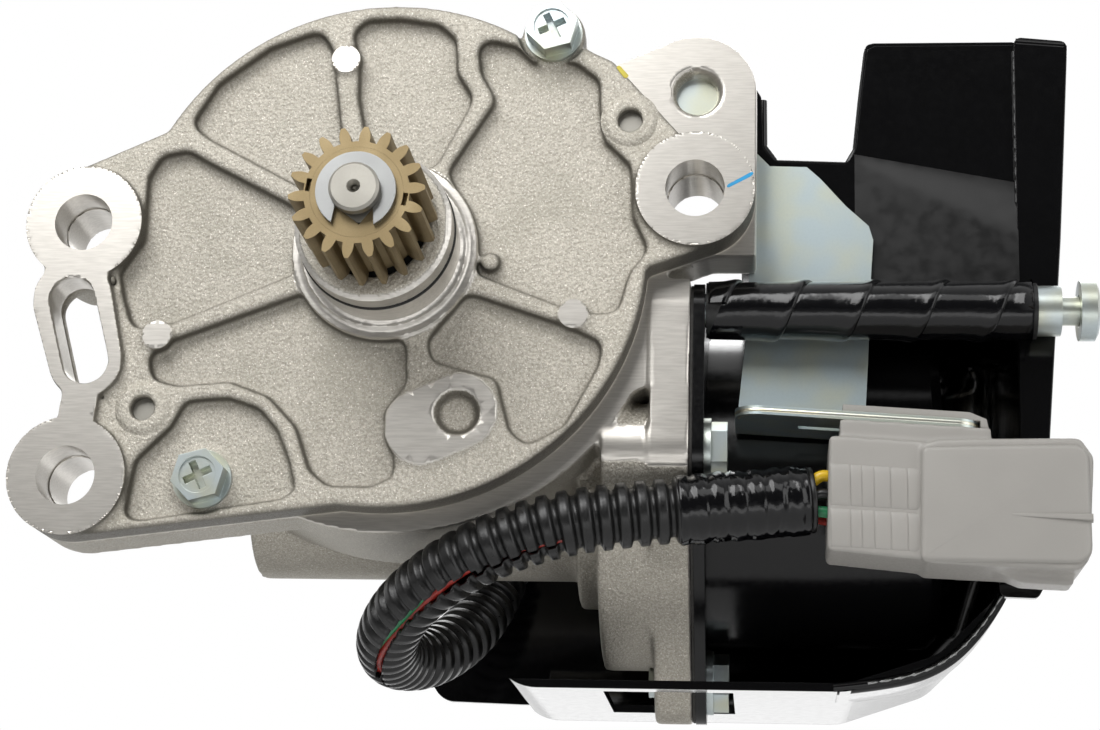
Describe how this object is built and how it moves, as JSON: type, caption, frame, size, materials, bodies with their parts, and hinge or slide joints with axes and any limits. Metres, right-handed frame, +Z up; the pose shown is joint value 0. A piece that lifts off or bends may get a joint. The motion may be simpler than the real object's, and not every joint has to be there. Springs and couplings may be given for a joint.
{
  "type": "differential lock actuator",
  "caption": "Worm-gear motor drive that turns an output pinion through a spiral spring, with shield, breather and sealed connector.",
  "frame": {"origin": "pinion axis in the plane of the three mounting boss faces", "axes": "-Y along the pinion towards its front, +X towards the motor, +Z up as the picture shows it"},
  "size_m": [0.2, 0.1345, 0.131],
  "materials": {
    "cast_cover": "sand-cast grey with machined faces",
    "cast_housing": "sand-cast grey with machined faces",
    "seal_rubber": "smooth black",
    "plain_steel": "ground",
    "zinc_screws": "bright zinc plating",
    "bush_bronze": "sintered bronze",
    "pinion_steel": "tan phosphate",
    "bright_steel": "bright plated",
    "spring_steel": "blued",
    "wheel_plastic": "moulded, off-white",
    "core_steel": "laminated",
    "winding_copper": "enamelled copper",
    "black_paint": "satin black",
    "gasket": "pressed fibre",
    "ferrite": "ground ferrite",
    "inner_plastic": "moulded dark brown",
    "carbon": "pressed carbon",
    "hose_rubber": "smooth black",
    "wrap_black": "glossy black wrap",
    "zinc_sheet": "passivated zinc, faint yellow and blue",
    "black_gloss": "gloss black coat",
    "grey_plastic": "moulded light grey",
    "terminal_tin": "tin plate",
    "conduit_black": "ribbed black",
    "tape_black": "glossy black tape",
    "wire_yellow": "insulation",
    "wire_black": "insulation",
    "wire_green": "insulation"
  },
  "bodies": {
    "housing": {"gear_cover": "cast_cover", "gear_housing": "cast_housing", "cover_seal": "seal_rubber", "dowels": "plain_steel", "cover_screws": "zinc_screws", "pilot_o_ring": "seal_rubber", "front_bush": "bush_bronze", "rear_bush": "bush_bronze", "lip_seal": "seal_rubber", "motor_can": "black_paint", "motor_gasket": "gasket", "motor_plate": "black_paint", "magnets": "ferrite", "brush_holder": "inner_plastic", "brushes": "carbon", "can_bush": "bush_bronze", "worm_end_bush": "bush_bronze", "bell_bush": "bush_bronze", "motor_bolts": "zinc_screws", "breather_nipple": "bright_steel", "breather_hose": "hose_rubber", "hose_wrap": "wrap_black", "breather_plug": "bright_steel", "connector_bracket": "zinc_sheet", "bracket_bolt": "zinc_screws", "stone_shield": "black_gloss", "shield_side": "black_gloss", "shield_bolt": "zinc_screws", "connector_housing": "grey_plastic", "terminals": "terminal_tin", "connector_clip": "zinc_sheet", "conduit": "conduit_black", "wire_bundle": "wire_black", "harness_tape": "tape_black", "wire_yellow": "wire_yellow", "wires_black": "wire_black", "wires_green_red": "wire_green", "harness_elbow": "hose_rubber", "contact_plate": "inner_plastic"},
    "output": {"output_shaft": "plain_steel", "output_pinion": "pinion_steel", "pinion_hub": "pinion_steel", "e_ring": "bright_steel", "spring_arbor": "plain_steel", "spiral_spring": "spring_steel", "wiper": "inner_plastic"},
    "wheel": {"wheel_carrier": "plain_steel", "worm_wheel": "wheel_plastic", "thrust_washer": "bush_bronze"},
    "rotor": {"motor_shaft": "plain_steel", "worm": "plain_steel", "armature_core": "core_steel", "armature_windings": "winding_copper", "commutator": "winding_copper"},
    "cap": {"breather_cap": "bright_steel"}
  },
  "joints": [
    {"name": "rotor_turn", "type": "hinge", "parent": "housing", "child": "rotor", "pos_m": [0, 0.054, -0.035], "axis": [1, 0, 0], "range_deg": [0, 3400]},
    {"name": "output_turn", "type": "hinge", "parent": "housing", "child": "output", "pos_m": [0, 0, 0], "axis": [0, 1, 0], "range_deg": [0, 60]},
    {"name": "wheel_turn", "type": "hinge", "parent": "housing", "child": "wheel", "pos_m": [0, 0, 0], "axis": [0, 1, 0], "range_deg": [0, 60]},
    {"name": "cap_lift", "type": "slide", "parent": "housing", "child": "cap", "axis": [1, 0, 0], "range_m": [0, 0.0008]}
  ],
  "couplings": [
    {"joint": "output_turn", "follows": "rotor_turn", "ratio": 0.017544},
    {"joint": "wheel_turn", "follows": "rotor_turn", "ratio": 0.017544}
  ]
}
